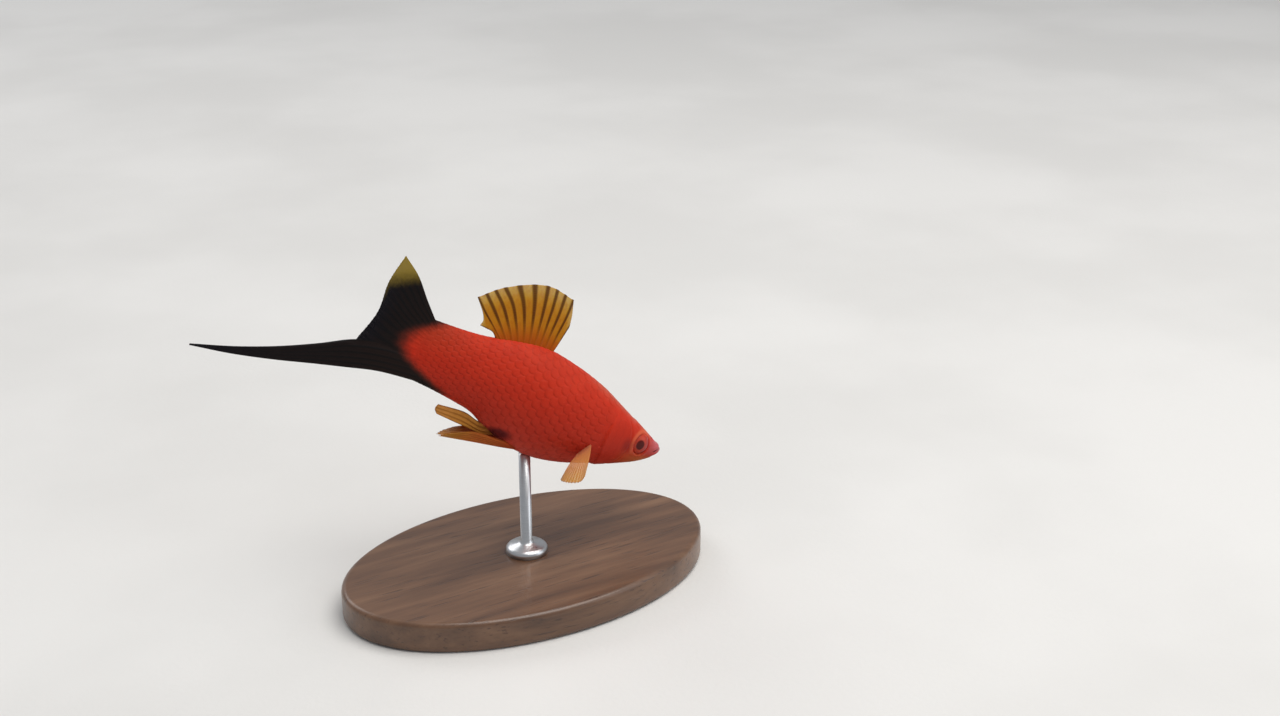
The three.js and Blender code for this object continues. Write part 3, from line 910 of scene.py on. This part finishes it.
finForm = {
    "scallop": 0.0,
    "free": (0, 0),
    "fleshy": 0.5,
    "melt": (3.5, 3.5, 1),
    "edge": 3.5,
    "edgeThin": 0.25,
    "forkThin": 0.35,
    "ridgeFade": 0.85,
}
dorsalForm = finForm | {
    "rays": 10, "steps": 14, "rows": 56, "thick": (0.8, 0.3, 0.1), "ridge": 0.09, "band": (0.22, 0.27),
    "fork": (0.98, 0.0), "scallop": 0.006, "free": (2, 2),
    "lines": [
        fromBack((33.7, 37.0, 40.1, 43.2), 1.4),
        [(33.45, 12.4, 0.05), (37.75, 12.8, 0.1), (42.35, 11.4, 0.1), (46.9, 9.75, 0.05)],
        [(33.15, 16.2, 0.1), (38.6, 16.8, 0.2), (45.1, 14.9, 0.2), (50.1, 11.8, 0.1)],
        [(33.2, 20.0, 0.3), (39.5, 20.5, 0.45), (47.9, 17.1, 0.4), (52.4, 13.6, 0.2)],
    ],
}
dorsalFrontForm = dorsalForm | {  # a short first ray, with a web up to the first long one
    "rays": 2, "scallop": 0.0, "band": (0.25, 0.22), "free": (0, 2),
    "lines": [
        fromBack((32.8, 33.75), 1.4),
        [(32.1, 11.8, 0.05), (33.5, 12.4, 0.05)],
        [(31.85, 13.4, 0.05), (33.2, 16.2, 0.1)],
        [(31.55, 15.0, 0.1), (32.1, 17.2, 0.2), (33.2, 19.9, 0.3)],
    ],
}
dorsalHeelForm = dorsalForm | {  # a short last ray, lying low
    "rays": 2, "scallop": 0.0, "band": (0.12, 0.07), "ridge": 0.08, "free": (2, 0),
    "lines": [
        fromBack((43.2, 44.4), 1.4),
        [(46.9, 9.75, 0.05), (46.3, 8.75, 0)],
        [(50.1, 11.8, 0.1), (48.0, 9.0, 0)],
        [(52.3, 13.5, 0.2), (49.9, 11.2, 0.1), (49.3, 10.1, 0), (49.5, 9.1, 0)],
    ],
}
caudalForm = finForm | {
    "rays": 13, "steps": 12, "rows": 60, "thick": (1.2, 0.4, 0.1), "ridge": 0.05, "band": (0.24, 0.2),
    "fork": (0.35, 0.2), "scallop": 0.004, "melt": (3.5, 14, 1),
    "lines": [
        fromStalk(((-4.9, 5.85), (-4.3, 4.2), (-4.1, 1.8), (-4.2, -2.2))),
        [(61.5, 9.6, 0), (63.2, 6.3, 0), (63.8, 2.8, 0), (63.8, -2.7, 0)],
        [(65.2, 13.0, 0.1), (66.6, 8.2, 0.1), (66.7, 3.7, 0.05), (67.3, -2.6, 0)],
        [(69.1, 15.4, 0.35), (69.95, 10.1, 0.3), (69.5, 4.6, 0.15), (71.3, -1.75, 0)],
    ],
}
swordForm = finForm | {
    "rays": 6, "steps": 12, "rows": 150, "thick": (1.2, 0.5, 0.2), "ridge": 0.055, "band": (0.2, 0.2),
    "fork": (0.9, 0.0), "melt": (18, 3.5, 0.3),
    "lines": [
        fromStalk(((-4.0, 0.5), (-4.4, -2.1), (-6.4, -4.35))),
        [(66, -0.1, 0), (65.6, -2.9, 0), (64.6, -5.12, 0)],
        [(71.4, -1.35, 0), (71.1, -4.1, 0), (70.6, -6.4, 0)],
        [(77.4, -4.2, 0), (77.1, -6, 0), (76.8, -7.8, 0)],
        [(84.2, -7.1, 0), (84.0, -8.3, 0), (83.8, -9.45, 0)],
        [(91.4, -9.6, 0), (91.3, -10.2, 0), (91.2, -10.9, 0)],
        [(98.6, -11.6, 0), (98.6, -11.75, 0), (98.6, -11.9, 0)],
    ],
}
gonopodiumForm = finForm | {
    "rays": 4, "steps": 14, "rows": 70, "thick": (0.95, 0.7, 0.4), "ridge": 0.12, "band": (0.25, 0.25),
    "fork": (0.95, 0.0),
    "lines": [
        fromBelly(((34.9, 0), (36.6, 0), (38.2, 0)), 1.25),
        [(38.8, -9.3, 0), (39.7, -8.5, 0), (40.9, -7.35, 0)],
        [(44.5, -9.05, 0), (44.4, -7.9, 0), (44.2, -6.65, 0)],
        [(49.7, -8.7, 0), (50.4, -7.9, 0), (50.2, -6.95, 0)],
    ],
}
pelvicForm = finForm | {
    "rays": 6, "steps": 12, "rows": 60, "thick": (0.7, 0.3, 0.1), "ridge": 0.1, "band": (0.2, 0.24),
    "fork": (0.6, 0.12), "scallop": 0.015,
    "lines": [
        fromBelly(((29.6, 0.8), (30.8, 1.1), (32, 1.4)), 1.0),
        [(34.4, -10.3, 0.7), (35.2, -9.7, 1.2), (36.0, -9.0, 1.75)],
        [(41.0, -11.3, 0.55), (41.5, -10.3, 1.1), (41.8, -9.2, 1.7)],
        [(47.7, -12.3, 0.5), (46.7, -11.5, 0.95), (44.4, -10.2, 1.5)],
    ],
}
pectoralForm = finForm | {
    "rays": 14, "steps": 12, "rows": 52, "thick": (0.8, 0.2, 0.07), "ridge": 0.045, "band": (0.2, 0.2),
    "fork": (0.5, 0.14), "scallop": 0.015, "fleshy": 0.3,
    "lines": [
        fromFlank(((18.0, -2.9, 1.7), (18.6, -4.2, 1.7), (19.0, -5.6, 2.0))),
        [(20.1, -4.7, 7.6), (21.5, -6.3, 7.3), (22.7, -7.9, 6.6)],
        [
            (22.1, -8.3, 11.7), (22.8, -9.5, 12.0), (24.2, -10.45, 11.2),
            (24.9, -10.9, 9.8), (24.4, -10.9, 8.4),
        ],
    ],
}


def rayMask(form, across, out):  # 1 on a ray, 0 on the web; rays fork on their way out
    along = across * (form["rays"] - 1)
    off = abs(along - round(along))
    start, spread = form["fork"]
    forked = smooth(start, 1, out)
    wide = lerp(*form["band"], out) * (1 - form["forkThin"] * forked * (spread > 0))
    return max(0.0, 1 - (abs(off - spread * forked) / wide) ** 2)


def webThick(form, out):  # of the web between the rays, at a share of the way out
    root, middle, rim = form["thick"]
    fleshy = form["fleshy"]
    if out < fleshy:
        return lerp(root, middle, smooth(0, fleshy, out))
    return lerp(middle, rim, (out - fleshy) / (1 - fleshy))


def sideRound(form, c, columns, out):  # falls below 1 towards a free side edge
    early, late = (columns * (1 - smooth(start - 0.06, start + 0.02, out)) for start in form["free"])
    first, last, until = form["melt"]
    first, last = (lerp(wide, form["edge"], smooth(until, until + 0.08, out)) for wide in (first, last))
    return min(smooth(-0.5, first, c + early), smooth(-0.5, last, columns - c + late))


finBake = {"across": 0.94, "split": 0.01, "along": 0.45, "start": 0.01, "underStart": 0.52, "edge": 0.006}


def unwrapFan(face, bake, finMap, bakeFrom, bakeTo):  # both sides and the edge between, each its own patch
    under = all(loop.vert.co.z < 0 for loop in face.loops)
    for loop in face.loops:
        x, y, z = loop.vert.co
        loop[finMap].uv = (x + 0.5, y + 0.5)
        edge = finBake["edge"] if z < 0 and not under else 0
        u = 0.5 + (x + finBake["split"] * under) * finBake["across"]
        v = (y + 0.5) * finBake["along"] + finBake["underStart" if under else "start"]
        u += math.copysign(edge, x) * (abs(x) > 0.499)
        v += math.copysign(edge, y) * (abs(y) > 0.499)
        loop[bake].uv = (u, lerp(bakeFrom, bakeTo, v))


def addFan(bm, form, side, bakeFrom, bakeTo):
    columns, rows = (form["rays"] - 1) * form["steps"], form["rows"]
    lower = bmesh.ops.create_grid(bm, x_segments=columns, y_segments=rows, size=0.5)["verts"]
    faces = dict.fromkeys(face for vert in lower for face in vert.link_faces)
    upper = ofKind(bmesh.ops.extrude_face_region(bm, geom=list(faces))["geom"], bmesh.types.BMVert)
    for vert in lower:
        vert.co.z = -1
    for vert in upper:
        vert.co.z = 1
    bake, finMap = bm.loops.layers.uv["OFBake"], bm.loops.layers.uv["finMap"]
    for face in dict.fromkeys(face for vert in lower + upper for face in vert.link_faces):
        unwrapFan(face, bake, finMap, bakeFrom, bakeTo)

    lines = [[Vector((-s, y * side, h)) for s, h, y in line] for line in form["lines"]]
    grid = []
    for c in range(columns + 1):
        spots = [alongPoints(line, c / columns) for line in lines]
        reach = 1 - form["scallop"] * (1 - rayMask(form, c / columns, 1))
        grid.append([alongPoints(spots, r / rows * reach) for r in range(rows + 1)])
    ray = bm.verts.layers.float["ray"]
    for vert in lower + upper:
        c, r = round((vert.co.x + 0.5) * columns), round((vert.co.y + 0.5) * rows)
        out = r / rows
        across = grid[min(c + 1, columns)][r] - grid[max(c - 1, 0)][r]
        outward = grid[c][min(r + 1, rows)] - grid[c][max(r - 1, 0)]
        mask = rayMask(form, c / columns, out)
        half = webThick(form, out) / 2 + form["ridge"] * mask * (1 - form["ridgeFade"] * out * out)
        half *= lerp(form["edgeThin"], 1, sideRound(form, c, columns, out))
        vert[ray] = mask
        vert.co = grid[c][r] + across.cross(outward).normalized() * half * vert.co.z


def makeFin(name, forms, side, material, replaced):
    bm = bmesh.new()
    bm.loops.layers.uv.new("OFBake")
    bm.loops.layers.uv.new("finMap")
    bm.verts.layers.float.new("ray")
    for k, form in enumerate(forms):
        addFan(bm, form, side, k / len(forms), (k + 1) / len(forms))
    bmesh.ops.transform(bm, matrix=toRow, verts=bm.verts)
    finishPiece(name, bm, material, replaced)


finLooks = {
    "dorsal": {
        "root": (0.37, 0.068, 0.001), "web": (0.46, 0.180, 0.004), "tip": (0.58, 0.34, 0.030),
        "ray": (0.105, 0.027, 0.000), "rayTip": (0.125, 0.046, 0.003), "rayFrom": 0.30,
        "clear": (0.98, 0.92, 0.70), "joints": 26,
    },
    "pectoral": {
        "root": (0.66, 0.24, 0.14), "web": (0.70, 0.31, 0.09), "tip": (0.62, 0.31, 0.020),
        "ray": (0.50, 0.17, 0.05), "rayTip": (0.46, 0.16, 0.008), "rayFrom": 0.15,
        "clear": (0.48, 0.62, 0.60), "joints": 20,
    },
    "pelvic": {
        "root": (0.38, 0.042, 0.010), "web": (0.46, 0.120, 0.024), "tip": (0.52, 0.24, 0.040),
        "ray": (0.26, 0.052, 0.008), "rayTip": (0.34, 0.12, 0.015), "rayFrom": 0.15,
        "clear": (0.98, 0.92, 0.72), "joints": 30,
    },
    "gonopodium": {
        "root": (0.34, 0.10, 0.020), "web": (0.46, 0.19, 0.028), "tip": (0.52, 0.22, 0.05),
        "ray": (0.24, 0.085, 0.010), "rayTip": (0.34, 0.13, 0.02), "rayFrom": 0.0,
        "clear": (1.0, 0.98, 0.94), "joints": 44,
    },
    "tail": {
        "root": (0.010, 0.005, 0.004), "web": (0.007, 0.004, 0.004), "tip": (0.005, 0.004, 0.007),
        "ray": (0.004, 0.003, 0.003), "rayTip": (0.003, 0.003, 0.005), "rayFrom": 0.0,
        "clear": (1.0, 0.99, 0.95), "joints": 36,
        "ochre": {"colour": (0.26, 0.175, 0.018), "height": 9.6, "behind": 67.5, "slope": 0.55, "fade": 4.4},
    },
}


def makeFinMaterial(name, look):
    material, surface, place = newMaterial(name, Specular_IOR_Level=0.09, Roughness=0.5)
    _, v, _ = place.node("UVMap", {"uv_map": "finMap"}).parts()
    ray = place.attribute("ray")
    level, s, y, h = levelled(place)
    web = v.rise(0.1, 0.5).mix(look["root"], look["web"])
    web = v.rise(0.6, 1.0).mix(web, look["tip"])
    cloud = level.noise(1.3, 4, 0.6)
    web = (cloud.rise(0.35, 0.7) * 0.3).mix(web, look["root"])
    bone = v.rise(0.4, 1.0).mix(look["ray"], look["rayTip"])
    strong = ray.rise(0.0, 0.95) * v.rise(look["rayFrom"] - 0.28, look["rayFrom"] + 0.22)
    joint = (1 - abs((v * look["joints"]).fraction() - 0.5).rise(0.0, 0.14)) * ray.rise(0.3, 0.8)
    colour = (joint * 0.05).mix(strong.mix(web, bone), look["tip"])
    near, middle, far = look["clear"]
    thin = near + (middle - near) * v.rise(0.15, 0.7) + (far - middle) * v.rise(0.7, 1.0)
    alpha = thin + (1 - thin) * ray * 0.7
    if "ochre" in look:
        ochre = ochreTip(look["ochre"], cloud, v, s, h)
        colour = tailRoot(ochre.mix(colour, look["ochre"]["colour"]), level, s, y, h)
        alpha = alpha - ochre * 0.12
    feed(surface, Base_Color=colour, Alpha=alpha)
    feed(surface, Normal=bumped(place, joint * -0.6 + level.noise(6, 3) * 0.5, 0.35, 0.00006))
    return material


def ochreTip(look, cloud, v, s, h):  # the tail's upper tip, and a little of its hind edge
    above = h - look["height"] + (cloud - 0.5) * 1.6 + (s - look["behind"]) * look["slope"]
    return above.rise(0.0, look["fade"]).most(v.rise(0.92, 1.0) * h.rise(6.0, 11.0) * 0.4)


def tailRoot(colour, level, s, y, h):  # the red of the stalk runs out over the first of the rays
    past = s - tailEdge(level, h)
    return past.rise(0.0, 2.4).mix(redMarkings(level, s, y, h), colour)


amberFin = makeFinMaterial("amberFin", finLooks["dorsal"])
blackFin = makeFinMaterial("blackFin", finLooks["tail"])
pelvicFin = makeFinMaterial("redFin", finLooks["pelvic"])
spearFin = makeFinMaterial("spearFin", finLooks["gonopodium"])
paleFin = makeFinMaterial("paleFin", finLooks["pectoral"])

makeFin("dorsalFin", [dorsalForm, dorsalFrontForm, dorsalHeelForm], 1, amberFin, ["dorsal_fin"])
makeFin("tailFin", [caudalForm, swordForm], 1, blackFin, ["caudal_fin", "sword"])
makeFin("gonopodium", [gonopodiumForm], 1, spearFin, ["gonopodium"])
for sideName, side in (("left", 1), ("right", -1)):
    named = sideName.capitalize()
    makeFin("pelvicFin" + named, [pelvicForm], side, pelvicFin, ["pelvic_fin_" + sideName])
    makeFin("pectoralFin" + named, [pectoralForm], side, paleFin, ["pectoral_fin_" + sideName])


woodLook = {
    "stretch": (14, 150, 150),
    "turned": (0, 0.05, 0.06),
    "stops": [(0.25, (0.060, 0.026, 0.013)), (0.5, (0.135, 0.064, 0.031)), (0.75, (0.215, 0.112, 0.058))],
    "poreStretch": (130, 1900, 1900),
    "pore": ((0.028, 0.012, 0.007), 0.55),
}
steelLook = {"stretch": (500, 500, 9000), "dark": (0.50, 0.51, 0.52), "bright": (0.72, 0.72, 0.73)}


def stretched(place, scale, turned=(0, 0, 0)):
    return place.node("Mapping", None, {"Vector": place, "Scale": scale, "Rotation": turned})


def makeWood():
    material, surface, place = newMaterial("walnut", Coat_Weight=0.35, Coat_Roughness=0.18)
    lines = stretched(place, woodLook["stretch"], woodLook["turned"]).noise(1.6, 6, 0.62)
    pores = stretched(place, woodLook["poreStretch"]).noise(1.0, 2).rise(0.58, 0.72)
    colour = lines.node("ValToRGB", {"stops": woodLook["stops"]}, {0: lines})
    dark, strength = woodLook["pore"]
    colour = (pores * strength).mix(colour, dark)
    feed(surface, Base_Color=colour, Roughness=0.36 + lines * 0.15)
    feed(surface, Normal=bumped(place, lines * 0.4 - pores, 0.4, 0.00008))
    return material


def makeSteel():
    material, surface, place = newMaterial("brushedSteel", Metallic=1.0)
    brushed = stretched(place, steelLook["stretch"]).noise(1.0, 3, 0.6)
    colour = brushed.mix(steelLook["dark"], steelLook["bright"])
    feed(surface, Base_Color=colour, Roughness=0.22 + brushed * 0.2)
    feed(surface, Normal=bumped(place, brushed, 0.2, 0.00002))
    return material


def makeBase():
    bm = bmesh.new()
    rim = bmesh.ops.create_circle(bm, cap_ends=True, segments=180, radius=1)
    oval = (standForm["halfLength"] * mm, standForm["halfWidth"] * mm, 1)
    bmesh.ops.scale(bm, vec=oval, verts=rim["verts"])
    tops = ofKind(bmesh.ops.extrude_face_region(bm, geom=bm.faces[:])["geom"], bmesh.types.BMVert)
    bmesh.ops.translate(bm, vec=(0, 0, standForm["height"] * mm), verts=tops)
    rims = [edge for edge in bm.edges if abs(edge.verts[0].co.z - edge.verts[1].co.z) < 1e-6]
    bmesh.ops.bevel(
        bm, geom=rims, offset=standForm["bevel"] * mm, offset_type="OFFSET", affect="EDGES",
        segments=5, profile=0.5, material=-1, clamp_overlap=True,
    )
    base = finishPiece("standBase", bm, makeWood(), ["stand_base"], smoothed=False)
    for polygon in base.data.polygons:
        polygon.use_smooth = abs(polygon.normal.z) < 0.999


def makeRod():  # turned in one with its foot, and just into the belly
    foot, high, radius = standForm["footRadius"], standForm["footHeight"], standForm["rodRadius"]
    bottom, top = standForm["height"] + standForm["rodLift"], standForm["rodLength"] + standForm["rodSunk"]
    outline = [
        (0, 0), (foot, 0), (foot, 0.55 * high), (0.93 * foot, 0.78 * high), (0.8 * foot, high),
        (radius + 0.55, 1.18 * high), (radius, 1.6 * high), (radius, top), (0, top),
    ]
    bm = bmesh.new()
    verts = [bm.verts.new((r * mm, 0, (bottom + z) * mm)) for r, z in outline]
    edges = [bm.edges.new(pair) for pair in zip(verts, verts[1:])]
    bmesh.ops.spin(
        bm, geom=verts + edges, cent=(0, 0, 0), axis=(0, 0, 1), angle=2 * math.pi, steps=64, use_merge=True,
    )
    bmesh.ops.remove_doubles(bm, verts=bm.verts, dist=1e-6)
    finishPiece("standRod", bm, makeSteel(), ["stand_rod"])


makeBase()
makeRod()
